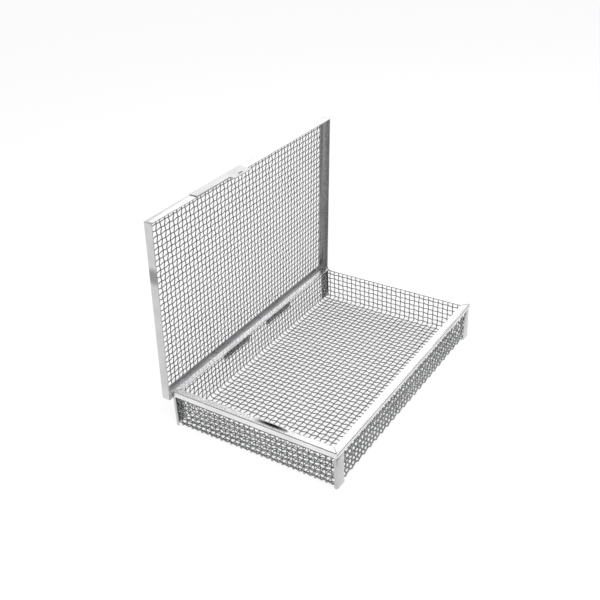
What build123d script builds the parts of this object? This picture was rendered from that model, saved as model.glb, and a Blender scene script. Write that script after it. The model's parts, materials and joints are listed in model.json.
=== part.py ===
"""Autoclave basket: a shallow woven-wire tray with a framed, hinged mesh lid.

Millimetres. X runs along the long sides, +Y towards the hinges and +Z up. The origin is the middle
of the tray's underside. The lid is drawn closed and then swung up to the angle it rests at.
"""

import os

from build123d import *

# Tray, over the outside of its rim
TRAY_LENGTH = 312.0
TRAY_WIDTH = 200.0
TRAY_HEIGHT = 45.0

# Woven wire: quarter-inch mesh
MESH_PITCH = 6.35
WIRE_DIAMETER = 1.2
LAYER_GAP = 0.02
FOLD_RADIUS = 1.8

# Rim: four folded strips, mitred at the corners
RIM_SHEET = 1.0
RIM_FLANGE = 8.0
RIM_LEG = 6.0
MESH_CLEARANCE = 0.2
SHEET_BEND_OUTSIDE = 1.2
SHEET_BEND_INSIDE = 0.2

# Corner straps: folded strips up the tray's four corners
STRAP_SHEET = 0.8
STRAP_LONG_LEG = 13.0
STRAP_SHORT_LEG = 3.6
SEAT_GAP = 0.05

# Lid frame: four folded strips, deeper than the rim, that drop over it
LID_SHEET = 1.0
LID_DEPTH = 10.0
LID_LIP = 7.5
LID_SEAT_GAP = 0.2
LID_END_CLEARANCE = 3.7
LID_FRONT_CLEARANCE = 1.5
LID_BACK_CLEARANCE = 2.9
LID_MESH_MARGIN = 2.2
LID_WIRE_SETBACK = 1.5
LID_OPEN_ANGLE = 87.5

# Hinges: two rolled-leaf hinges on the back side
HINGE_LENGTH = 50.0
HINGE_OFFSET = 42.0
HINGE_SHEET = 0.6
HINGE_AXIS_OUT = 2.0
HINGE_AXIS_RISE = 2.2
PIN_DIAMETER = 1.5
PIN_CLEARANCE = 0.05
PIN_HEAD_RADIUS = 1.2
PIN_HEAD_LENGTH = 0.8
LID_KNUCKLE_LENGTH = 21.0
KNUCKLE_GAP = 0.3
BASE_LEAF_DROP = 14.5
NOTCH_CLEARANCE = 0.35
STOP_GAP = 0.1

# How far a cutting block runs past what it cuts
CUT_MARGIN = 1.0

# Spring catch on the lid's front strip
CATCH_SHEET = 0.9
CATCH_LEFT = -93.0
CATCH_RIGHT = -10.0
CATCH_TAB_WIDTH = 29.0
CATCH_TAB_DROP = 6.5
CATCH_EDGE_INSET = 0.3
CATCH_BEAD_LENGTH = 8.0
CATCH_BEAD_CLEARANCE = 0.4
CATCH_BEAD_DROP = 2.6
CATCH_CORNER_RADIUS = 1.5

# Worked out from the sizes above
half_length = TRAY_LENGTH / 2
half_width = TRAY_WIDTH / 2
wire_radius = WIRE_DIAMETER / 2
layer_step = WIRE_DIAMETER + LAYER_GAP
outer_layer = RIM_SHEET + MESH_CLEARANCE + wire_radius
inner_layer = outer_layer + layer_step
outer_fold_radius = FOLD_RADIUS + layer_step
fold_reach = outer_layer + outer_fold_radius
wall_top = TRAY_HEIGHT - RIM_SHEET - SEAT_GAP
mesh_face = RIM_SHEET + MESH_CLEARANCE

lid_lip_bottom = TRAY_HEIGHT + LID_SEAT_GAP
lid_top = lid_lip_bottom + LID_SHEET
lid_edge = lid_top - LID_DEPTH
lid_half_length = half_length + LID_END_CLEARANCE + LID_SHEET
lid_front = -half_width - LID_FRONT_CLEARANCE - LID_SHEET
lid_back = half_width + LID_BACK_CLEARANCE + LID_SHEET
lid_width = lid_back - lid_front
lid_middle = (lid_back + lid_front) / 2

axis_y = half_width + HINGE_AXIS_OUT
axis_z = lid_edge + HINGE_AXIS_RISE
pin_radius = PIN_DIAMETER / 2
bore_radius = pin_radius + PIN_CLEARANCE
knuckle_radius = bore_radius + HINGE_SHEET - PIN_CLEARANCE
notch_top = axis_z + knuckle_radius + NOTCH_CLEARANCE


def spaced(half_span):
    """Places at the mesh pitch, centred on zero, that fit within half_span each way."""
    count = int(2 * half_span / MESH_PITCH) + 1
    first = -(count - 1) / 2 * MESH_PITCH
    return [first + i * MESH_PITCH for i in range(count)]


def wall_rows():
    """Heights of the wires that run round the walls, from just above the fold to the rim."""
    lowest = wire_radius + outer_fold_radius + wire_radius + LAYER_GAP
    highest = wall_top - wire_radius
    count = int((highest - lowest) / MESH_PITCH) + 1
    return [lowest + i * MESH_PITCH for i in range(count)]


def save(name, solids):
    """Writes one node, from one solid or a list of separate ones."""
    solids = solids if isinstance(solids, list) else [solids]
    shape = solids[0] if len(solids) == 1 else Compound(children=solids)
    shape.label = name
    export_step(shape, os.path.join("parts", name + ".step"))


def rod_along_x(length, radius):
    return Plane.YZ * extrude(Circle(radius), length / 2, both=True)


def rod_along_y(length, radius):
    return Plane.XZ * extrude(Circle(radius), length / 2, both=True)


def block(x_range, y_range, z_range):
    """A box between two corners."""
    size = [high - low for low, high in (x_range, y_range, z_range)]
    centre = [(high + low) / 2 for low, high in (x_range, y_range, z_range)]
    return Pos(*centre) * Box(*size)


# ---------------------------------------------------------------- woven wire


def folded_wire(half_span, layer, floor_height, fold_radius):
    """One wire in the XZ plane: up one wall, across the floor and up the other."""
    reach = half_span - layer
    corners = [(-reach, wall_top), (-reach, floor_height), (reach, floor_height), (reach, wall_top)]
    points = [Vector(x, 0, z) for x, z in corners]
    path = FilletPolyline(*points, radius=fold_radius)
    section = Plane(origin=points[0], z_dir=(0, 0, -1)) * Circle(wire_radius)
    return sweep(section, path=path).solid()


def tray_mesh():
    """The tray is one sheet of mesh with its sides folded up; every wire is a solid of its own."""
    across = Rot(0, 0, 90) * folded_wire(half_width, outer_layer, wire_radius, outer_fold_radius)
    along = folded_wire(half_length, inner_layer, wire_radius + layer_step, FOLD_RADIUS)
    wires = [Pos(x, 0, 0) * across for x in spaced(half_length - fold_reach)]
    wires += [Pos(0, y, 0) * along for y in spaced(half_width - fold_reach)]
    side_wire = rod_along_x(2 * (half_length - inner_layer), wire_radius)
    end_wire = rod_along_y(2 * (half_width - outer_layer), wire_radius)
    for z in wall_rows():
        for side in (-1, 1):
            wires.append(Pos(0, side * (half_width - inner_layer), z) * side_wire)
            wires.append(Pos(side * (half_length - outer_layer), 0, z) * end_wire)
    return wires


def lid_mesh():
    """The lid's flat mesh lies on the outside of the frame's lips, in two layers of wire."""
    low_layer = lid_top + LAYER_GAP + wire_radius
    long_wire = rod_along_x(2 * (lid_half_length - LID_WIRE_SETBACK), wire_radius)
    short_wire = rod_along_y(lid_width - 2 * LID_WIRE_SETBACK, wire_radius)
    wires = [
        Pos(0, lid_middle + y, low_layer) * long_wire
        for y in spaced(lid_width / 2 - LID_MESH_MARGIN)
    ]
    wires += [
        Pos(x, lid_middle, low_layer + layer_step) * short_wire
        for x in spaced(lid_half_length - LID_MESH_MARGIN)
    ]
    return wires


# ---------------------------------------------------------------- folded strips


def angle_strip(half_run, top, leg, flange, sheet):
    """A folded strip along X with its outer face at y = 0, its flange towards +Y and mitred ends."""
    profile = Polyline(
        (0, top - leg),
        (0, top),
        (flange, top),
        (flange, top - sheet),
        (sheet, top - sheet),
        (sheet, top - leg),
        close=True,
    )
    face = make_face(Plane.YZ * profile)
    strip = extrude(face, half_run, both=True)
    outside = strip.edges().filter_by(Axis.X).sort_by_distance((0, 0, top))[0]
    strip = fillet(outside, SHEET_BEND_OUTSIDE)
    inside = strip.edges().filter_by(Axis.X).sort_by_distance((0, sheet, top - sheet))[0]
    strip = fillet(inside, SHEET_BEND_INSIDE)
    for side in (-1, 1):
        mitre = Plane(origin=(side * half_run, 0, 0), z_dir=(side, 1, 0))
        strip = split(strip, bisect_by=mitre, keep=Keep.BOTTOM)
    return strip.solid()


def rim_strips():
    """The four rim strips, outer faces on the tray's outline, tops at the tray's height."""
    long_strip = angle_strip(half_length, TRAY_HEIGHT, RIM_LEG, RIM_FLANGE, RIM_SHEET)
    short_strip = angle_strip(half_width, TRAY_HEIGHT, RIM_LEG, RIM_FLANGE, RIM_SHEET)
    return {
        "rim_front": Pos(0, -half_width, 0) * long_strip,
        "rim_back": Pos(0, half_width, 0) * Rot(0, 0, 180) * long_strip,
        "rim_left": Pos(-half_length, 0, 0) * Rot(0, 0, -90) * short_strip,
        "rim_right": Pos(half_length, 0, 0) * Rot(0, 0, 90) * short_strip,
    }


def lid_strips():
    """The lid frame's strips, drawn closed; the back one is notched for the hinges."""
    long_strip = angle_strip(lid_half_length, lid_top, LID_DEPTH, LID_LIP, LID_SHEET)
    short_strip = angle_strip(lid_width / 2, lid_top, LID_DEPTH, LID_LIP, LID_SHEET)
    back = Pos(0, lid_back, 0) * Rot(0, 0, 180) * long_strip
    for middle in (-HINGE_OFFSET, HINGE_OFFSET):
        reach = HINGE_LENGTH / 2 + KNUCKLE_GAP + PIN_HEAD_LENGTH
        back -= block(
            (middle - reach, middle + reach),
            (lid_back - LID_SHEET - CUT_MARGIN, lid_back + CUT_MARGIN),
            (lid_edge - CUT_MARGIN, notch_top),
        )
    return {
        "lid_frame_front": Pos(0, lid_front, 0) * long_strip,
        "lid_frame_back": back.solid(),
        "lid_frame_left": Pos(-lid_half_length, lid_middle, 0) * Rot(0, 0, -90) * short_strip,
        "lid_frame_right": Pos(lid_half_length, lid_middle, 0) * Rot(0, 0, 90) * short_strip,
    }


def corner_strap():
    """A folded strap outside the mesh at the front left corner, from the floor up to the rim's leg."""
    face = mesh_face - SEAT_GAP - STRAP_SHEET
    left = -half_length + face
    front = -half_width + face
    bottom = wire_radius
    top = TRAY_HEIGHT - RIM_LEG - SEAT_GAP
    strap = block((left, left + STRAP_LONG_LEG), (front, front + STRAP_SHEET), (bottom, top))
    strap += block((left, left + STRAP_SHEET), (front, front + STRAP_SHORT_LEG), (bottom, top))
    outside = strap.edges().filter_by(Axis.Z).sort_by_distance((left, front, top / 2))[0]
    return fillet(outside, STRAP_SHEET).solid()


def corner_straps():
    strap = corner_strap()
    right = mirror(strap, about=Plane.YZ)
    return {
        "corner_strap_front_left": strap,
        "corner_strap_front_right": right,
        "corner_strap_back_left": mirror(strap, about=Plane.XZ),
        "corner_strap_back_right": mirror(right, about=Plane.XZ),
    }


# ---------------------------------------------------------------- hinges


def knuckle(start, end):
    """A rolled barrel on the hinge axis between two places along X, not yet bored."""
    return Pos((start + end) / 2, axis_y, axis_z) * rod_along_x(end - start, knuckle_radius)


def pin_bore():
    return Pos(0, axis_y, axis_z) * rod_along_x(2 * HINGE_LENGTH, bore_radius)


def base_leaf():
    """The tray's leaf: a plate outside the mesh, turned out under the rim and rolled at both ends."""
    plate_outside = half_width - mesh_face + SEAT_GAP + HINGE_SHEET
    plate_top = TRAY_HEIGHT - RIM_LEG - SEAT_GAP
    web_bottom = axis_z - knuckle_radius
    half = HINGE_LENGTH / 2
    leaf = block(
        (-half, half),
        (plate_outside - HINGE_SHEET, plate_outside),
        (TRAY_HEIGHT - BASE_LEAF_DROP, plate_top),
    )
    knuckle_start = LID_KNUCKLE_LENGTH / 2 + KNUCKLE_GAP
    for start, end in ((-half, -knuckle_start), (knuckle_start, half)):
        web = block(
            (start, end),
            (plate_outside - HINGE_SHEET, axis_y),
            (web_bottom, web_bottom + HINGE_SHEET),
        )
        leaf += web + knuckle(start, end)
    return (leaf - pin_bore()).solid()


def lid_leaf():
    """The lid's leaf: a plate inside the back strip, one rolled knuckle and the tail that stops it."""
    plate_outside = lid_back - LID_SHEET - LAYER_GAP
    half = HINGE_LENGTH / 2
    half_knuckle = LID_KNUCKLE_LENGTH / 2
    leaf = block(
        (-half, half),
        (plate_outside - HINGE_SHEET, plate_outside),
        (notch_top, lid_lip_bottom - SHEET_BEND_INSIDE - SEAT_GAP),
    )
    leaf += block(
        (-half_knuckle, half_knuckle),
        (plate_outside - HINGE_SHEET, plate_outside),
        (axis_z, notch_top),
    )
    leaf_stop = half_width - mesh_face + SEAT_GAP + HINGE_SHEET + STOP_GAP
    tail_length = axis_y - leaf_stop
    leaf += block(
        (-half_knuckle, half_knuckle),
        (axis_y - HINGE_SHEET / 2, axis_y + HINGE_SHEET / 2),
        (axis_z - tail_length, axis_z),
    )
    leaf += knuckle(-half_knuckle, half_knuckle)
    return (leaf - pin_bore()).solid()


def hinge_pin():
    """A plain pin, with a small riveted head at each end."""
    pin = Pos(0, axis_y, axis_z) * rod_along_x(HINGE_LENGTH + 2 * SEAT_GAP, pin_radius)
    for side in (-1, 1):
        place = side * (HINGE_LENGTH / 2 + SEAT_GAP + PIN_HEAD_LENGTH / 2)
        pin += Pos(place, axis_y, axis_z) * rod_along_x(PIN_HEAD_LENGTH, PIN_HEAD_RADIUS)
    return pin.solid()


# ---------------------------------------------------------------- spring catch


def spring_catch():
    """A sprung plate along the lid's front strip, with a tab and a pressed bead that rubs the rim."""
    inner_face = lid_front - LAYER_GAP
    outer_face = inner_face - CATCH_SHEET
    tab_left = CATCH_RIGHT - CATCH_TAB_WIDTH
    tab_bottom = lid_edge - CATCH_TAB_DROP
    upper = lid_top - CATCH_EDGE_INSET
    outline = Polyline(
        (CATCH_LEFT, lid_edge),
        (CATCH_LEFT, upper),
        (CATCH_RIGHT, upper),
        (CATCH_RIGHT, tab_bottom),
        (tab_left, tab_bottom),
        (tab_left, lid_edge),
        close=True,
    )
    plate = extrude(make_face(Plane.XZ * outline), CATCH_SHEET, dir=(0, 1, 0))
    plate = Pos(0, outer_face, 0) * plate
    corners = plate.edges().filter_by(Axis.Y).sort_by(Axis.Z)
    plate = fillet(corners[0:2], CATCH_CORNER_RADIUS)
    bead_radius = -half_width - CATCH_BEAD_CLEARANCE - inner_face
    bead_place = Pos((tab_left + CATCH_RIGHT) / 2, inner_face, lid_edge - CATCH_BEAD_DROP)
    bead = bead_place * rod_along_x(CATCH_BEAD_LENGTH, bead_radius)
    bead -= block((-half_length, half_length), (outer_face - bead_radius, inner_face), (0, lid_top))
    hollow = bead_place * rod_along_x(CATCH_BEAD_LENGTH - CATCH_SHEET, bead_radius - CATCH_SHEET)
    return (plate + bead - hollow).solid()


# ---------------------------------------------------------------- assembly


def opened(shape):
    """Swings a lid piece from closed up to the angle at which the lid rests on its stop."""
    to_axis = Pos(0, axis_y, axis_z)
    return to_axis * Rot(-LID_OPEN_ANGLE, 0, 0) * Pos(0, -axis_y, -axis_z) * shape


def main():
    os.makedirs("parts", exist_ok=True)
    save("basket_mesh", tray_mesh())
    for name, strip in rim_strips().items():
        save(name, strip)
    for name, strap in corner_straps().items():
        save(name, strap)
    save("lid_mesh", [opened(wire) for wire in lid_mesh()])
    for name, strip in lid_strips().items():
        save(name, opened(strip))
    for name, place in (("hinge_left", -HINGE_OFFSET), ("hinge_right", HINGE_OFFSET)):
        save(name + "_base_leaf", Pos(place, 0, 0) * base_leaf())
        save(name + "_pin", Pos(place, 0, 0) * hinge_pin())
        save(name + "_lid_leaf", opened(Pos(place, 0, 0) * lid_leaf()))
    save("spring_catch", opened(spring_catch()))


main()
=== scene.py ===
"""Autoclave basket: a shallow woven-wire tray with a framed mesh lid, standing open on its hinges.

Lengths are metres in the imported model's frame: X along the long sides, +Y towards the hinges, +Z up.
Each woven wire, folded strip and weld is modelled once, closed and straight, then copied or swung
into place.
"""

import json
import math

import bpy
from mathutils import Matrix, Vector


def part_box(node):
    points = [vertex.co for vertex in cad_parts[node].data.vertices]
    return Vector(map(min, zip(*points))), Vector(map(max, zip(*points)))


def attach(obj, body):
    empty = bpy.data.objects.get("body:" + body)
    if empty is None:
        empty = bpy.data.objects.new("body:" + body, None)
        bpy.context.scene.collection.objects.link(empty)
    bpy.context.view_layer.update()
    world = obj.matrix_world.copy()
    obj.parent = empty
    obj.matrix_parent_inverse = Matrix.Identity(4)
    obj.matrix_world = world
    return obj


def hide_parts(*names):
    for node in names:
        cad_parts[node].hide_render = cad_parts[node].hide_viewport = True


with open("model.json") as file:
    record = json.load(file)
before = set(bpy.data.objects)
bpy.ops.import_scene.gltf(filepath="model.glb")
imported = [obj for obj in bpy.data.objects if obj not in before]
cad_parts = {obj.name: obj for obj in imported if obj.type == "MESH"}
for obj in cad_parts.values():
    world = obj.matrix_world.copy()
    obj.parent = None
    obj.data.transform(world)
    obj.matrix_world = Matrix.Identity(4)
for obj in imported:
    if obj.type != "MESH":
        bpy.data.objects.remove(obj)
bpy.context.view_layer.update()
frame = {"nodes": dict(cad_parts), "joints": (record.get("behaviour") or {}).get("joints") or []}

bl_info = {
    "name": "Autoclave Basket",
    "version": (1, 0, 0),
    "blender": (4, 5, 0),
    "location": "View3D > Sidebar > Basket",
    "description": "Builds a woven-wire autoclave basket with a hinged mesh lid",
    "category": "Add Mesh",
}

MM = 0.001
CLOSE = 0.01 * MM

# how a folded strip is divided, and how wide its edges are softened
FLANGE_ROWS = 5
STRIP_STEP = 3 * MM
EDGE_SOFTENING = 0.18 * MM

# sizes of the soft patterns that move surfaces
WIRE_WANDER_SCALE = 45 * MM
EDGE_WANDER_SCALE = 24 * MM

# noise scales of the steel: cloudy tone, and shallow ripples
CLOUD_SCALE = 38
RIPPLE_SCALE = 60

# the kinked length of the left rim's free edge, along Y, and how far in its two rows reach
KINK_FROM, KINK_TO = -41 * MM, -5 * MM
KINK_ROWS = ((3.6 * MM, 0.55), (2.0 * MM, 0.45))

# the lid mesh: how far its outermost wires and its wire ends stay inside the frame
LID_MESH_MARGIN = 2.2 * MM
LID_WIRE_SETBACK = 3.6 * MM

# the curved card's facing, its distance, and where its edge lies as a share of that distance
CARD_FACING = Vector((-0.3, -0.6, 0.75)).normalized()
CARD_DISTANCE = 2.5
CARD_EDGE = 0.24

# how much of the floor seen directly or in a reflection is plain white
FLOOR_WHITE_SHARE = 0.8

hinge = frame["joints"][0]
hinge_point = Vector(hinge["pos_m"])
open_angle = math.radians(hinge["range_deg"][1])
tray_low, tray_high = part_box("rim_left")[0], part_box("rim_right")[1]
strip_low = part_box("rim_front")[0]


# ---------------------------------------------------------------- what a user would change


class BasketWire(bpy.types.PropertyGroup):
    pitch: bpy.props.FloatProperty(
        name="Mesh pitch", description="Distance between neighbouring wires",
        default=6.35 * MM, min=2 * MM, unit="LENGTH", precision=5)
    diameter: bpy.props.FloatProperty(
        name="Wire diameter", description="Thickness of every woven wire",
        default=1.2 * MM, min=0.2 * MM, unit="LENGTH", precision=5)
    layer_gap: bpy.props.FloatProperty(
        name="Crossing gap", description="Air between two wires where they cross",
        default=0.02 * MM, min=0, unit="LENGTH", precision=6)
    inset: bpy.props.FloatProperty(
        name="Mesh inset", description="From the rim's outer face to the nearest wire's middle",
        default=1.8 * MM, min=0, unit="LENGTH", precision=5)
    fold_radius: bpy.props.FloatProperty(
        name="Fold radius", description="Bend of the inner wires where a wall turns up",
        default=1.8 * MM, min=0.5 * MM, unit="LENGTH", precision=5)
    sides: bpy.props.IntProperty(
        name="Sides", description="Faces round a wire", default=6, min=4, max=16)
    steps: bpy.props.IntProperty(
        name="Steps", description="Lengths of wire between two crossings", default=4, min=2, max=8)
    drift: bpy.props.FloatProperty(
        name="Drift", description="How far the wires wander from an even grid",
        default=0.7 * MM, min=0, unit="LENGTH", precision=5)


class BasketSheet(bpy.types.PropertyGroup):
    rim_sheet: bpy.props.FloatProperty(
        name="Rim sheet", description="Thickness of the rim's strips",
        default=1.0 * MM, min=0.3 * MM, unit="LENGTH", precision=5)
    rim_flange: bpy.props.FloatProperty(
        name="Rim flange", description="Width of the flat on top of the rim",
        default=8.0 * MM, min=2 * MM, unit="LENGTH", precision=5)
    rim_leg: bpy.props.FloatProperty(
        name="Rim leg", description="Height of the rim's outer face",
        default=6.0 * MM, min=2 * MM, unit="LENGTH", precision=5)
    lid_sheet: bpy.props.FloatProperty(
        name="Lid sheet", description="Thickness of the lid frame's strips",
        default=1.0 * MM, min=0.3 * MM, unit="LENGTH", precision=5)
    lid_lip: bpy.props.FloatProperty(
        name="Lid lip", description="Width of the lip that carries the lid's mesh",
        default=7.5 * MM, min=2 * MM, unit="LENGTH", precision=5)
    lid_depth: bpy.props.FloatProperty(
        name="Lid depth", description="Depth of the lid frame's band",
        default=10.0 * MM, min=3 * MM, unit="LENGTH", precision=5)
    bend: bpy.props.FloatProperty(
        name="Bend", description="Outer radius of a folded strip",
        default=1.2 * MM, min=0.2 * MM, unit="LENGTH", precision=5)
    ripple: bpy.props.FloatProperty(
        name="Ripple", description="Unevenness of a flange's free edge",
        default=0.7 * MM, min=0, unit="LENGTH", precision=5)
    strap_sheet: bpy.props.FloatProperty(
        name="Strap sheet", description="Thickness of the corner straps",
        default=0.8 * MM, min=0.3 * MM, unit="LENGTH", precision=5)
    strap_bend: bpy.props.FloatProperty(
        name="Strap bend", description="Outer radius of a corner strap, more than its thickness",
        default=1.15 * MM, min=0.4 * MM, unit="LENGTH", precision=5)
    dent: bpy.props.FloatProperty(
        name="Kink", description="How far the left rim's free edge is kinked up",
        default=0.9 * MM, min=0, unit="LENGTH", precision=5)


class BasketFinish(bpy.types.PropertyGroup):
    sheet_colour: bpy.props.FloatVectorProperty(
        name="Polished sheet", description="Colour of the rim",
        subtype="COLOR", size=3, min=0, max=1, default=(0.88, 0.88, 0.885))
    wire_colour: bpy.props.FloatVectorProperty(
        name="Wire", description="Colour of the woven wire",
        subtype="COLOR", size=3, min=0, max=1, default=(0.32, 0.325, 0.33))
    lid_colour: bpy.props.FloatVectorProperty(
        name="Lid sheet", description="Colour of the lid's frame",
        subtype="COLOR", size=3, min=0, max=1, default=(0.66, 0.66, 0.665))
    satin_colour: bpy.props.FloatVectorProperty(
        name="Satin sheet",
        description="Colour of the hinges, straps, catch, welds and lid's back strip",
        subtype="COLOR", size=3, min=0, max=1, default=(0.60, 0.60, 0.61))


class BasketStage(bpy.types.PropertyGroup):
    camera_place: bpy.props.FloatVectorProperty(
        name="Camera", description="Where the camera stands", subtype="TRANSLATION", unit="LENGTH",
        size=3, default=(-0.69636, -0.42856, 0.58922))
    azimuth: bpy.props.FloatProperty(
        name="Azimuth", description="Turn of the view about Z, 0 looking along +Y",
        subtype="ANGLE", default=math.radians(-56.1795))
    elevation: bpy.props.FloatProperty(
        name="Elevation", description="Height of the view above level",
        subtype="ANGLE", default=math.radians(30.6652))
    roll: bpy.props.FloatProperty(
        name="Roll", description="Lean of the view", subtype="ANGLE",
        default=math.radians(-2.619))
    lens: bpy.props.FloatProperty(
        name="Lens", description="Focal length on a 36 mm sensor", default=52.71, min=10)


# ---------------------------------------------------------------- handling


def deselect():
    for obj in bpy.context.selected_objects:
        obj.select_set(False)


def pick(obj):
    """Makes obj the only selected object and the active one."""
    deselect()
    obj.select_set(True)
    bpy.context.view_layer.objects.active = obj
    return obj


def added(name):
    """Names the primitive that was just added and settles its size and place into its mesh."""
    obj = bpy.context.active_object
    obj.name = obj.data.name = name
    bpy.ops.object.transform_apply(location=True, rotation=True, scale=True)
    return obj


def edit(obj, kind="VERT"):
    pick(obj)
    bpy.ops.object.mode_set(mode="EDIT")
    bpy.ops.mesh.select_mode(type=kind)


def done():
    bpy.ops.object.mode_set(mode="OBJECT")


def choose(obj, test):
    """In edit mode, selects the vertices whose place passes the test, and counts them."""
    bpy.ops.mesh.select_mode(type="VERT")
    bpy.ops.mesh.select_all(action="DESELECT")
    bpy.ops.object.mode_set(mode="OBJECT")
    found = 0
    for vertex in obj.data.vertices:
        vertex.select = bool(test(vertex.co))
        found += vertex.select
    bpy.ops.object.mode_set(mode="EDIT")
    if not found:
        raise RuntimeError(f"nothing was selected on {obj.name}")
    return found


def modify(obj, kind, **values):
    """Adds a modifier, sets it and applies it."""
    pick(obj)
    modifier = obj.modifiers.new(kind.title(), kind)
    for key, value in values.items():
        setattr(modifier, key, value)
    bpy.ops.object.modifier_apply(modifier=modifier.name)


def repeat(obj, count, step):
    modify(obj, "ARRAY", count=count, use_relative_offset=False, use_constant_offset=True,
           constant_offset_displace=step)


def move(obj, offset):
    obj.location = offset
    pick(obj)
    bpy.ops.object.transform_apply(location=True, rotation=False, scale=False)


def turn(obj, angle, axis, centre=(0, 0, 0)):
    """Turns obj about an axis through centre and settles it into its mesh."""
    there = Matrix.Translation(centre)
    obj.matrix_world = there @ Matrix.Rotation(angle, 4, axis) @ there.inverted()
    pick(obj)
    bpy.ops.object.transform_apply(location=True, rotation=True, scale=False)


def swing_open(obj):
    """From the closed lid's place to where the lid rests, open."""
    turn(obj, -open_angle, "X", hinge_point)


def copy_of(obj, name):
    pick(obj)
    bpy.ops.object.duplicate(linked=False)
    twin = bpy.context.active_object
    twin.name = twin.data.name = name
    return twin


def join(name, objs):
    deselect()
    for obj in objs:
        obj.select_set(True)
    bpy.context.view_layer.objects.active = objs[0]
    bpy.ops.object.join()
    whole = bpy.context.active_object
    whole.name = whole.data.name = name
    return whole


def wander(obj, strength, scale, axes, group=""):
    """Moves the surface a little by a soft cloud pattern in space, so touching pieces move together."""
    for axis in axes:
        cloud = bpy.data.textures.new("wander " + axis, "CLOUDS")
        cloud.noise_scale = scale
        modify(obj, "DISPLACE", texture=cloud, texture_coords="LOCAL", direction=axis,
               strength=strength, mid_level=0.5, vertex_group=group)
        bpy.data.textures.remove(cloud)


def finish_piece(obj, body, slot, material, *nodes, angle=40):
    pick(obj)
    bpy.ops.object.shade_smooth_by_angle(angle=math.radians(angle))
    obj.data.materials.clear()
    obj.data.materials.append(material)
    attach(obj, body)
    if nodes:
        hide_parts(*nodes)


# ---------------------------------------------------------------- finishes


def steel(name, colour, rough, bump, grain, dark_patch=None, cloud=0.82):
    """Stainless steel: cloudy tone and gloss, shallow ripples and fine grain, and maybe one darkened
    patch.
    """
    found = bpy.data.materials.get(name)
    if found:
        return found
    material = bpy.data.materials.new(name)
    material.use_nodes = True
    nodes, links = material.node_tree.nodes, material.node_tree.links
    shader = nodes["Principled BSDF"]
    shader.inputs["Metallic"].default_value = 1.0
    place = nodes.new("ShaderNodeTexCoord").outputs["Object"]

    def noise(scale, detail):
        node = nodes.new("ShaderNodeTexNoise")
        node.inputs["Scale"].default_value = scale
        node.inputs["Detail"].default_value = detail
        links.new(place, node.inputs["Vector"])
        return node.outputs["Fac"]

    ramp = nodes.new("ShaderNodeValToRGB")
    ramp.color_ramp.elements[0].position = 0.3
    ramp.color_ramp.elements[0].color = (*[c * cloud for c in colour], 1)
    ramp.color_ramp.elements[1].position = 0.72
    ramp.color_ramp.elements[1].color = (*colour, 1)
    links.new(noise(CLOUD_SCALE, 3), ramp.inputs["Fac"])
    shade = ramp.outputs["Color"]
    if dark_patch:
        shade = darkened_round(nodes, links, place, shade, *dark_patch)
    links.new(shade, shader.inputs["Base Color"])

    gloss = nodes.new("ShaderNodeMapRange")
    gloss.inputs["To Min"].default_value, gloss.inputs["To Max"].default_value = rough
    links.new(noise(grain, 4), gloss.inputs["Value"])
    links.new(gloss.outputs["Result"], shader.inputs["Roughness"])

    ripple = nodes.new("ShaderNodeBump")
    ripple.inputs["Strength"].default_value = bump
    ripple.inputs["Distance"].default_value = 0.4 * MM
    links.new(noise(RIPPLE_SCALE, 2), ripple.inputs["Height"])
    scratch = nodes.new("ShaderNodeBump")
    scratch.inputs["Strength"].default_value = bump * 0.4
    scratch.inputs["Distance"].default_value = 0.05 * MM
    links.new(noise(grain * 3, 2), scratch.inputs["Height"])
    links.new(ripple.outputs["Normal"], scratch.inputs["Normal"])
    links.new(scratch.outputs["Normal"], shader.inputs["Normal"])
    return material


def darkened_round(nodes, links, place, colour, centre, reach, dark):
    """Darkens the colour round one place: reach is how far the darkening goes along each axis. On the
    left rim this is painted shade.
    """
    fit = nodes.new("ShaderNodeMapping")
    fit.vector_type = "TEXTURE"
    fit.inputs["Location"].default_value = centre
    fit.inputs["Scale"].default_value = reach
    links.new(place, fit.inputs["Vector"])
    ball = nodes.new("ShaderNodeTexGradient")
    ball.gradient_type = "SPHERICAL"
    links.new(fit.outputs["Vector"], ball.inputs["Vector"])
    edge = nodes.new("ShaderNodeMapRange")
    edge.interpolation_type = "SMOOTHSTEP"
    edge.inputs["From Max"].default_value = 0.7
    links.new(ball.outputs["Fac"], edge.inputs["Value"])
    mix = nodes.new("ShaderNodeMix")
    mix.data_type = "RGBA"
    links.new(edge.outputs["Result"], mix.inputs["Factor"])
    links.new(colour, mix.inputs["A"])
    mix.inputs["B"].default_value = (dark, dark, dark, 1)
    return mix.outputs["Result"]


def wire_steel():
    colour = bpy.context.scene.basket_finish.wire_colour
    return steel("Drawn stainless wire", colour, (0.18, 0.36), 0.25, 420, cloud=0.7)


def sheet_steel():
    colour = bpy.context.scene.basket_finish.sheet_colour
    return steel("Polished stainless sheet", colour, (0.16, 0.30), 0.3, 300)


def lid_steel():
    colour = bpy.context.scene.basket_finish.lid_colour
    return steel("Lid frame sheet", colour, (0.16, 0.30), 0.3, 300)


def strap_steel():
    colour = bpy.context.scene.basket_finish.satin_colour
    return steel("Strap sheet", colour, (0.10, 0.18), 0.15, 300)


def satin_steel():
    colour = bpy.context.scene.basket_finish.satin_colour
    return steel("Satin stainless sheet", colour, (0.26, 0.44), 0.35, 500)


# ---------------------------------------------------------------- woven wire


def places(half_span, pitch):
    """The wires' places at the mesh pitch, centred on zero, that fit within half_span each way."""
    count = int(2 * half_span / pitch) + 1
    return [(i - (count - 1) / 2) * pitch for i in range(count)]


def wave(station, sign, height):
    """How far a wire stands off its mid line, over at one crossing and under at the next."""
    return sign * height * math.cos(math.pi * station)


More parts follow.
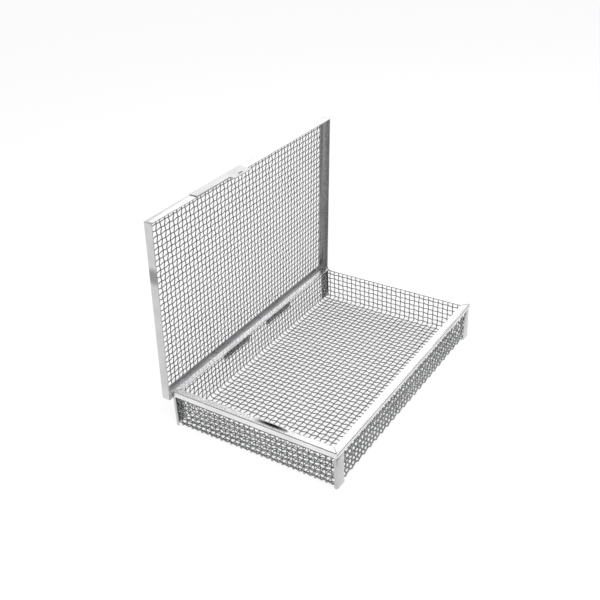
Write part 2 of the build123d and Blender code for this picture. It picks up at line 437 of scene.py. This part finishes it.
def draw_wire(name, wire, line):
    """A wire in the XZ plane: a disc extruded from point to point and turned to face along the line."""
    headings = []
    for i in range(len(line)):
        before, after = line[max(i - 1, 0)], line[min(i + 1, len(line) - 1)]
        headings.append(math.atan2(after[1] - before[1], after[0] - before[0]))
    deselect()
    bpy.ops.mesh.primitive_circle_add(
        vertices=wire.sides, radius=wire.diameter / 2, fill_type="NGON",
        location=(line[0][0], 0, line[0][1]), rotation=(0, math.pi / 2 - headings[0], 0))
    obj = added(name)
    edit(obj, "FACE")
    bpy.ops.mesh.select_all(action="SELECT")
    for i in range(1, len(line)):
        (x0, z0), (x1, z1) = line[i - 1], line[i]
        bpy.ops.mesh.extrude_region_move(
            TRANSFORM_OT_translate={"value": (x1 - x0, 0, z1 - z0), "orient_type": "GLOBAL"})
        turned = math.remainder(headings[i] - headings[i - 1], 2 * math.pi)
        if abs(turned) > 1e-6:
            bpy.ops.transform.rotate(
                value=turned, orient_axis="Y", orient_type="GLOBAL", center_override=(x1, 0, z1))
    bpy.ops.mesh.select_all(action="SELECT")
    bpy.ops.mesh.normals_make_consistent(inside=False)
    done()
    return obj


def folded_line(wire, corner, crossings, rows, top, sign):
    """A tray wire's line: down one wall, round the fold, across the floor and up the other wall."""
    height = (wire.diameter + wire.layer_gap) / 2
    middle = wire.diameter / 2 + height
    radius = wire.fold_radius + height
    straight = corner - radius
    floor_run = straight - crossings[-1]
    arc_run = radius * math.pi / 2
    wall_run = rows[0] - middle - radius
    fold_run = floor_run + arc_run + wall_run

    def half(station):
        """The place and inward heading at a station out from the floor's last crossing."""
        if station <= 1:
            run = station * fold_run
            if run <= floor_run:
                return crossings[-1] + run, middle, 0.0
            if run <= floor_run + arc_run:
                angle = (run - floor_run) / radius
                return (straight + radius * math.sin(angle),
                        middle + radius * (1 - math.cos(angle)), angle)
            return corner, rows[0] - (fold_run - run), math.pi / 2
        return corner, rows[0] + (station - 1) * wire.pitch, math.pi / 2

    last = len(rows) + (top - rows[-1]) / wire.pitch
    fine = 2 * wire.steps
    stations = [i / fine for i in range(fine)]
    stations += [1 + i / wire.steps for i in range(int((last - 1) * wire.steps) + 1)]
    stations.append(last)
    right = []
    for station in stations:
        x, z, angle = half(station)
        off = wave(len(crossings) - 1 + station, sign, height)
        right.append((x - off * math.sin(angle), z + off * math.cos(angle)))
    left = []
    for station in stations:
        x, z, angle = half(station)
        off = wave(-station, sign, height)
        left.append((-x + off * math.sin(angle), z + off * math.cos(angle)))
    floor = []
    for i in range(1, (len(crossings) - 1) * wire.steps):
        station = i / wire.steps
        floor.append((crossings[0] + station * wire.pitch, middle + wave(station, sign, height)))
    return left[::-1] + floor + right


def flat_line(wire, reach, crossings, middle, sign):
    """A straight run's line: woven between its first and last crossing, plain at its ends."""
    height = (wire.diameter + wire.layer_gap) / 2
    count = (len(crossings) - 1) * wire.steps
    line = [(-reach, middle + wave(0, sign, height))]
    for i in range(count + 1):
        station = i / wire.steps
        line.append((crossings[0] + station * wire.pitch, middle + wave(station, sign, height)))
    line.append((reach, middle + wave(len(crossings) - 1, sign, height)))
    return line


class BASKET_OT_tray_mesh(bpy.types.Operator):
    """Weave the tray's floor and walls"""

    bl_idname = "basket.tray_mesh"
    bl_label = "Tray Mesh"

    def execute(self, context):
        wire = context.scene.basket_wire
        material = wire_steel()
        height = (wire.diameter + wire.layer_gap) / 2
        corner_x = tray_high.x - wire.inset - height
        corner_y = -strip_low.y - wire.inset - height
        reach = wire.inset + 2 * height + wire.fold_radius + 2 * height
        xs = places(tray_high.x - reach, wire.pitch)
        ys = places(-strip_low.y - reach, wire.pitch)
        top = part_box("basket_mesh")[1].z
        lowest = wire.diameter + wire.fold_radius + 2 * height + wire.layer_gap
        rows = [lowest]
        while rows[-1] + wire.pitch <= top - wire.diameter / 2:
            rows.append(rows[-1] + wire.pitch)

        across, along = [], []
        for odd in (0, 1):
            sign = -1 if odd else 1
            obj = draw_wire("across", wire, folded_line(wire, corner_y, ys, rows, top, sign))
            turn(obj, math.pi / 2, "Z")
            move(obj, (xs[odd], 0, 0))
            repeat(obj, (len(xs) - odd + 1) // 2, (2 * wire.pitch, 0, 0))
            across.append(obj)
            obj = draw_wire("along", wire, folded_line(wire, corner_x, xs, rows, top, -sign))
            move(obj, (0, ys[odd], 0))
            repeat(obj, (len(ys) - odd + 1) // 2, (0, 2 * wire.pitch, 0))
            along.append(obj)

        walls = []
        ends = [(0, -1, corner_y, xs, corner_x, 1), (0, 1, corner_y, xs, corner_x, -1),
                (1, -1, corner_x, ys, corner_y, -1), (1, 1, corner_x, ys, corner_y, 1)]
        for turned, side, distance, crossings, run, first in ends:
            for odd in (0, 1):
                sign = first * (-1 if odd else 1)
                line = flat_line(wire, run - wire.diameter, crossings, 0, sign)
                obj = draw_wire("row", wire, line)
                turn(obj, math.pi / 2, "X")
                if turned:
                    turn(obj, math.pi / 2, "Z")
                offset = (side * distance, 0) if turned else (0, side * distance)
                move(obj, (*offset, rows[odd]))
                repeat(obj, (len(rows) - odd + 1) // 2, (0, 0, 2 * wire.pitch))
                walls.append(obj)

        for name, group in (("tray_wires_across", across), ("tray_wires_along", along),
                            ("tray_wall_wires", walls)):
            obj = join(name, group)
            wander(obj, wire.drift, WIRE_WANDER_SCALE, "XY")
            node = ["basket_mesh"] if name == "tray_wires_across" else []
            finish_piece(obj, "basket", "woven_wire", material, *node, angle=65)
        return {"FINISHED"}


class BASKET_OT_lid_mesh(bpy.types.Operator):
    """Weave the lid's flat mesh"""

    bl_idname = "basket.lid_mesh"
    bl_label = "Lid Mesh"

    def execute(self, context):
        wire = context.scene.basket_wire
        material = wire_steel()
        height = (wire.diameter + wire.layer_gap) / 2
        low, high, lid_top = closed_lid()
        middle_y = (low.y + high.y) / 2
        half_x, half_y = high.x, (high.y - low.y) / 2
        level = lid_top + wire.layer_gap + wire.diameter / 2 + height
        xs = places(half_x - LID_MESH_MARGIN, wire.pitch)
        ys = places(half_y - LID_MESH_MARGIN, wire.pitch)
        long_wires, short_wires = [], []
        for odd in (0, 1):
            sign = -1 if odd else 1
            line = flat_line(wire, half_x - LID_WIRE_SETBACK, xs, level, -sign)
            obj = draw_wire("long", wire, line)
            move(obj, (0, middle_y + ys[odd], 0))
            repeat(obj, (len(ys) - odd + 1) // 2, (0, 2 * wire.pitch, 0))
            long_wires.append(obj)
            line = flat_line(wire, half_y - LID_WIRE_SETBACK, ys, level, sign)
            obj = draw_wire("short", wire, line)
            turn(obj, math.pi / 2, "Z")
            move(obj, (xs[odd], middle_y, 0))
            repeat(obj, (len(xs) - odd + 1) // 2, (2 * wire.pitch, 0, 0))
            short_wires.append(obj)
        for name, group in (("lid_wires_long", long_wires), ("lid_wires_short", short_wires)):
            obj = join(name, group)
            wander(obj, wire.drift, WIRE_WANDER_SCALE, "XY")
            swing_open(obj)
            node = ["lid_mesh"] if name == "lid_wires_long" else []
            finish_piece(obj, "lid", "woven_wire", material, *node, angle=65)
        return {"FINISHED"}


# ---------------------------------------------------------------- folded strips


def closed_lid():
    """The lid frame's lowest and highest corners, and its top, with the lid shut."""
    shut = (Matrix.Translation(hinge_point) @ Matrix.Rotation(open_angle, 4, "X")
            @ Matrix.Translation(-hinge_point))
    corners = []
    for node in ("lid_frame_front", "lid_frame_back", "lid_frame_left", "lid_frame_right"):
        corners += [shut @ vertex.co for vertex in frame["nodes"][node].data.vertices]
    low = Vector(min(c[i] for c in corners) for i in range(3))
    high = Vector(max(c[i] for c in corners) for i in range(3))
    return low, high, high.z


def folded_strip(name, half_run, top, leg, flange, sheet, bend, ripple, mitred=True):
    """A folded strip along X: outer face at y = 0, flange towards +Y, mitred or square ends."""
    rows = FLANGE_ROWS if mitred else 1
    deselect()
    bpy.ops.mesh.primitive_grid_add(
        x_subdivisions=max(int(2 * half_run / STRIP_STEP), 8), y_subdivisions=rows, size=1,
        location=(0, flange / 2, top))
    bpy.context.active_object.scale = (2 * half_run, flange, 1)
    obj = added(name)
    edit(obj)
    choose(obj, lambda co: co.y < CLOSE)
    bpy.ops.mesh.select_mode(type="EDGE")
    bpy.ops.mesh.extrude_region_move(
        TRANSFORM_OT_translate={"value": (0, 0, -leg), "orient_type": "GLOBAL"})
    choose(obj, lambda co: co.y < CLOSE and co.z > top - CLOSE)
    bpy.ops.mesh.select_mode(type="EDGE")
    bpy.ops.mesh.bevel(offset=bend, segments=4, affect="EDGES")
    for depth in [flange * (i + 1) / rows for i in range(rows)]:
        if not mitred:
            break
        choose(obj, lambda co: abs(co.y - depth) < CLOSE)
        bpy.ops.transform.resize(
            value=((half_run - depth) / half_run, 1, 1), center_override=(0, depth, top))
    done()
    if ripple:
        edge = obj.vertex_groups.new(name="free edge")
        edge.add([v.index for v in obj.data.vertices if v.co.y > flange - CLOSE], 1.0, "REPLACE")
        wander(obj, ripple, EDGE_WANDER_SCALE, "Y", "free edge")
    modify(obj, "SOLIDIFY", thickness=sheet, offset=-1)
    obj.vertex_groups.clear()
    return obj


def soften(obj):
    """Rounds a strip's sharp edges a little."""
    modify(obj, "BEVEL", width=EDGE_SOFTENING, segments=2, limit_method="ANGLE",
           angle_limit=math.radians(50))


class BASKET_OT_rim(bpy.types.Operator):
    """Fold the four rim strips and kink up part of the left one's free edge"""

    bl_idname = "basket.rim"
    bl_label = "Rim"

    def execute(self, context):
        sheet = context.scene.basket_sheet
        material = sheet_steel()
        colour = context.scene.basket_finish.sheet_colour
        # painted shade: a near-black patch darkens the left rim's flange round its kinked free edge,
        # standing in for the shade there
        painted_shade_sheet = steel("Polished stainless sheet with painted shade in the kink", colour,
                       (0.16, 0.30), 0.3, 300,
                       ((-150.6 * MM, -23 * MM, tray_high.z), (2.6 * MM, 22 * MM, 4 * MM), 0.03))
        sides = (("front", 0, tray_high.x, -strip_low.y), ("back", math.pi, tray_high.x, -strip_low.y),
                 ("left", -math.pi / 2, -strip_low.y, tray_high.x),
                 ("right", math.pi / 2, -strip_low.y, tray_high.x))
        for side, angle, half_run, distance in sides:
            obj = folded_strip("rim_" + side + "_strip", half_run, tray_high.z, sheet.rim_leg,
                               sheet.rim_flange, sheet.rim_sheet, sheet.bend, sheet.ripple)
            move(obj, (0, -distance, 0))
            turn(obj, angle, "Z")
            if side == "left":
                self.kink(obj, sheet)
            soften(obj)
            finish_piece(obj, "basket", "rim_sheet", painted_shade_sheet if side == "left" else material,
                         "rim_" + side)
        return {"FINISHED"}

    def kink(self, obj, sheet):
        """Kinks a length of the flange's free edge up, in two rows."""
        inner = tray_low.x + sheet.rim_flange
        edit(obj)
        for reach, share in KINK_ROWS:
            choose(obj, lambda co: co.x > inner - reach and KINK_FROM < co.y < KINK_TO)
            bpy.ops.transform.translate(value=(0, 0, sheet.dent * share), orient_type="GLOBAL")
        done()


class BASKET_OT_lid_frame(bpy.types.Operator):
    """Fold the lid frame's front and end strips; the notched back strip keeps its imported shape"""

    bl_idname = "basket.lid_frame"
    bl_label = "Lid Frame"

    def execute(self, context):
        sheet = context.scene.basket_sheet
        material = lid_steel()
        low, high, lid_top = closed_lid()
        half_y, middle_y = (high.y - low.y) / 2, (high.y + low.y) / 2
        # a darker patch on the lid's left strip, 148 mm from the hinge side
        dark_patch = Vector((low.x, high.y - 148 * MM, lid_top - sheet.lid_depth / 2))
        there = Matrix.Translation(hinge_point)
        dark_patch = there @ Matrix.Rotation(-open_angle, 4, "X") @ there.inverted() @ dark_patch
        marked = steel("Lid frame sheet with a smudge", context.scene.basket_finish.lid_colour,
                       (0.16, 0.30), 0.3, 300, (tuple(dark_patch), (4 * MM, 14 * MM, 13 * MM), 0.30))
        for side, angle, half_run, distance in (
                ("front", 0, high.x, -low.y), ("left", -math.pi / 2, half_y, high.x),
                ("right", math.pi / 2, half_y, high.x)):
            obj = folded_strip("lid_" + side + "_strip", half_run, lid_top, sheet.lid_depth,
                               sheet.lid_lip, sheet.lid_sheet, sheet.bend, sheet.ripple)
            move(obj, (0, -distance, 0))
            turn(obj, angle, "Z")
            if side != "front":
                move(obj, (0, middle_y, 0))
            soften(obj)
            swing_open(obj)
            finish_piece(obj, "lid", "lid_frame_sheet", marked if side == "left" else material,
                         "lid_frame_" + side)
        show_node("lid_frame_back", satin_steel())
        return {"FINISHED"}


def show_node(name, material):
    """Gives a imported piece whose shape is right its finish."""
    obj = frame["nodes"][name]
    obj.data.materials.clear()
    obj.data.materials.append(material)


class BASKET_OT_corners(bpy.types.Operator):
    """Fold the four corner straps and lay a weld bead on each of the rim's mitres"""

    bl_idname = "basket.corners"
    bl_label = "Corners"

    def execute(self, context):
        sheet = context.scene.basket_sheet
        low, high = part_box("corner_strap_front_left")
        long_leg, short_leg, middle_z = high.x - low.x, high.y - low.y, (low.z + high.z) / 2
        half_run = (high.z - low.z) / 2
        for side, leg, flange, angle in (("left", short_leg, long_leg, -math.pi / 2),
                                         ("right", long_leg, short_leg, 0)):
            strap = folded_strip("strap_front_" + side, half_run, 0, leg, flange,
                                 sheet.strap_sheet, sheet.strap_bend, 0, mitred=False)
            turn(strap, math.pi / 2, "Y")
            turn(strap, angle, "Z")
            move(strap, (low.x if side == "left" else -low.x, low.y, middle_z))
            soften(strap)
            other = "right" if side == "left" else "left"
            behind = copy_of(strap, "strap_back_" + other)
            turn(behind, math.pi, "Z")
            finish_piece(strap, "basket", "corner_strap_sheet", strap_steel(),
                         "corner_strap_front_" + side)
            finish_piece(behind, "basket", "corner_strap_sheet", strap_steel(),
                         "corner_strap_back_" + other)
        self.welds(sheet)
        return {"FINISHED"}

    def welds(self, sheet):
        """A low uneven bead along each mitre, sunk in the flange."""
        half = sheet.rim_flange * math.sqrt(2) / 2 - 0.5 * MM
        deselect()
        bpy.ops.mesh.primitive_uv_sphere_add(segments=24, ring_count=12, radius=1)
        bpy.context.active_object.scale = (half, 0.7 * MM, 0.30 * MM)
        bead = added("rim_weld_1")
        wander(bead, 0.5 * MM, 2.5 * MM, "Y")
        turn(bead, math.pi / 4, "Z")
        inset = sheet.rim_flange / 2
        move(bead, (tray_low.x + inset, strip_low.y + inset, tray_high.z - 0.16 * MM))
        beads = [bead]
        for i, (sx, sy) in enumerate(((1, -1), (1, 1), (-1, 1))):
            twin = copy_of(bead, f"rim_weld_{i + 2}")
            if sx != sy:
                edit(twin)
                bpy.ops.mesh.select_all(action="SELECT")
                bpy.ops.transform.mirror(orient_type="GLOBAL", constraint_axis=(sx > 0, sy > 0, False),
                                         center_override=(0, 0, 0))
                bpy.ops.mesh.normals_make_consistent(inside=False)
                done()
            else:
                turn(twin, math.pi, "Z")
            beads.append(twin)
        for bead in beads:
            finish_piece(bead, "basket", "rim_sheet", satin_steel())


class BASKET_OT_fittings(bpy.types.Operator):
    """Finish the hinges and spring catch"""

    bl_idname = "basket.fittings"
    bl_label = "Fittings"

    def execute(self, context):
        satin = satin_steel()
        names = [n for n in frame["nodes"] if n.startswith("hinge_") or n == "spring_catch"]
        for name in names:
            show_node(name, satin)
        return {"FINISHED"}


# ---------------------------------------------------------------- stage


class BASKET_OT_stage(bpy.types.Operator):
    """Set the floor, world, lamps and camera"""

    bl_idname = "basket.stage"
    bl_label = "Stage"

    def execute(self, context):
        self.world(context.scene)
        self.floor()
        self.grey_cards()
        self.lamps()
        self.camera(context.scene)
        context.scene.view_settings.view_transform = "Standard"
        return {"FINISHED"}

    def seen(self, nodes, links):
        """1 for what the camera sees directly, in a reflection or through something."""
        path = nodes.new("ShaderNodeLightPath")
        total = path.outputs["Is Camera Ray"]
        for kind in ("Is Glossy Ray", "Is Transmission Ray"):
            add = nodes.new("ShaderNodeMath")
            add.operation = "MAXIMUM"
            links.new(total, add.inputs[0])
            links.new(path.outputs[kind], add.inputs[1])
            total = add.outputs[0]
        return total

    def world(self, scene):
        world = bpy.data.worlds.new("Pale studio")
        scene.world = world
        world.use_nodes = True
        nodes, links = world.node_tree.nodes, world.node_tree.links
        soft = nodes["Background"]
        soft.inputs["Color"].default_value = (1, 1, 1, 1)
        soft.inputs["Strength"].default_value = 0.8
        white = nodes.new("ShaderNodeBackground")
        white.inputs["Color"].default_value = (1, 1, 1, 1)
        white.inputs["Strength"].default_value = 1.0
        mix = nodes.new("ShaderNodeMixShader")
        links.new(self.seen(nodes, links), mix.inputs["Fac"])
        links.new(soft.outputs[0], mix.inputs[1])
        links.new(white.outputs[0], mix.inputs[2])
        links.new(mix.outputs[0], nodes["World Output"].inputs["Surface"])

    def floor(self):
        deselect()
        bpy.ops.mesh.primitive_plane_add(size=8, location=(0, 0, 0))
        obj = added("floor")
        material = bpy.data.materials.new("Pale floor")
        material.use_nodes = True
        nodes, links = material.node_tree.nodes, material.node_tree.links
        shader = nodes["Principled BSDF"]
        shader.inputs["Base Color"].default_value = (0.97, 0.97, 0.97, 1)
        shader.inputs["Roughness"].default_value = 0.9
        glow = nodes.new("ShaderNodeEmission")
        glow.inputs["Strength"].default_value = 1.0
        share = nodes.new("ShaderNodeMath")
        share.operation = "MULTIPLY"
        share.inputs[1].default_value = FLOOR_WHITE_SHARE
        links.new(self.seen(nodes, links), share.inputs[0])
        mix = nodes.new("ShaderNodeMixShader")
        links.new(share.outputs[0], mix.inputs["Fac"])
        links.new(shader.outputs[0], mix.inputs[1])
        links.new(glow.outputs[0], mix.inputs[2])
        links.new(mix.outputs[0], nodes["Material Output"].inputs["Surface"])
        obj.data.materials.append(material)

    def grey_cards(self):
        """A curved grey card above and in front and a flat one low in front.

        Both are seen only as reflections in the metal."""
        deselect()
        bpy.ops.mesh.primitive_uv_sphere_add(segments=64, ring_count=32, radius=CARD_DISTANCE)
        obj = added("high_card")
        edit(obj)
        bpy.ops.mesh.select_all(action="SELECT")
        bpy.ops.mesh.bisect(plane_co=CARD_FACING * CARD_DISTANCE * CARD_EDGE, plane_no=CARD_FACING,
                            clear_inner=True)
        done()
        material = bpy.data.materials.new("Grey card")
        material.use_nodes = True
        shader = material.node_tree.nodes["Principled BSDF"]
        shader.inputs["Base Color"].default_value = (0.3, 0.3, 0.3, 1)
        shader.inputs["Roughness"].default_value = 1.0
        shader.inputs["Specular IOR Level"].default_value = 0.0
        deselect()
        bpy.ops.mesh.primitive_plane_add(size=1, location=(-0.2, strip_low.y - 1.03, 1 * MM))
        bpy.context.active_object.scale = (3, 2, 1)
        for card in (obj, added("low_card")):
            card.data.materials.append(material)
            card.visible_camera = card.visible_diffuse = card.visible_shadow = False
            card.visible_transmission = False

    def lamps(self):
        for name, place, size, power in (
                ("key", (-0.5, -0.3, 1.3), 0.8, 9), ("fill", (0.8, -0.9, 0.7), 0.9, 5),
                ("back", (0.75, 0.45, 0.75), 0.7, 1.0)):
            deselect()
            bpy.ops.object.light_add(type="AREA", location=place)
            lamp = bpy.context.active_object
            lamp.name = name
            lamp.data.shape = "DISK"
            lamp.data.size = size
            lamp.data.energy = power
            aim = Vector(place) - Vector((0, 0, 0.06))
            lamp.rotation_euler = aim.to_track_quat("Z", "Y").to_euler()

    def camera(self, scene):
        stage = scene.basket_stage
        az, el, roll = stage.azimuth, stage.elevation, stage.roll
        back = Vector((math.sin(az) * math.cos(el), -math.cos(az) * math.cos(el), math.sin(el)))
        right = Vector((math.cos(az), math.sin(az), 0))
        up = back.cross(right)
        across = math.cos(roll) * right + math.sin(roll) * up
        upward = math.cos(roll) * up - math.sin(roll) * right
        deselect()
        bpy.ops.object.camera_add()
        camera = bpy.context.active_object
        camera.name = "camera"
        facing = Matrix((across, upward, back)).transposed().to_4x4()
        camera.matrix_world = Matrix.Translation(stage.camera_place) @ facing
        camera.data.sensor_width = 36
        camera.data.lens = stage.lens
        camera.data.clip_start, camera.data.clip_end = 0.01, 20
        scene.camera = camera


class BASKET_PT_panel(bpy.types.Panel):
    """The basket's pieces and sizes"""

    bl_idname = "BASKET_PT_panel"
    bl_label = "Autoclave Basket"
    bl_space_type = "VIEW_3D"
    bl_region_type = "UI"
    bl_category = "Basket"

    def draw(self, context):
        for operator in OPERATORS:
            self.layout.operator(operator.bl_idname)
        for title, name in (("Wire", "basket_wire"), ("Sheet", "basket_sheet"),
                            ("Finish", "basket_finish"), ("Stage", "basket_stage")):
            box = self.layout.box()
            box.label(text=title)
            group = getattr(context.scene, name)
            for key in group.bl_rna.properties.keys():
                if key not in ("rna_type", "name"):
                    box.prop(group, key)


GROUPS = {"basket_wire": BasketWire, "basket_sheet": BasketSheet,
          "basket_finish": BasketFinish, "basket_stage": BasketStage}
OPERATORS = (BASKET_OT_tray_mesh, BASKET_OT_lid_mesh, BASKET_OT_rim, BASKET_OT_corners,
             BASKET_OT_lid_frame, BASKET_OT_fittings, BASKET_OT_stage)


def register():
    for cls in (*GROUPS.values(), *OPERATORS, BASKET_PT_panel):
        bpy.utils.register_class(cls)
    for name, cls in GROUPS.items():
        setattr(bpy.types.Scene, name, bpy.props.PointerProperty(type=cls))


def unregister():
    for name in GROUPS:
        delattr(bpy.types.Scene, name)
    for cls in (BASKET_PT_panel, *reversed(OPERATORS), *reversed(GROUPS.values())):
        bpy.utils.unregister_class(cls)


def main():
    register()
    bpy.ops.basket.tray_mesh()
    bpy.ops.basket.lid_mesh()
    bpy.ops.basket.rim()
    bpy.ops.basket.corners()
    bpy.ops.basket.lid_frame()
    bpy.ops.basket.fittings()
    bpy.ops.basket.stage()


if __name__ == "__main__":
    main()
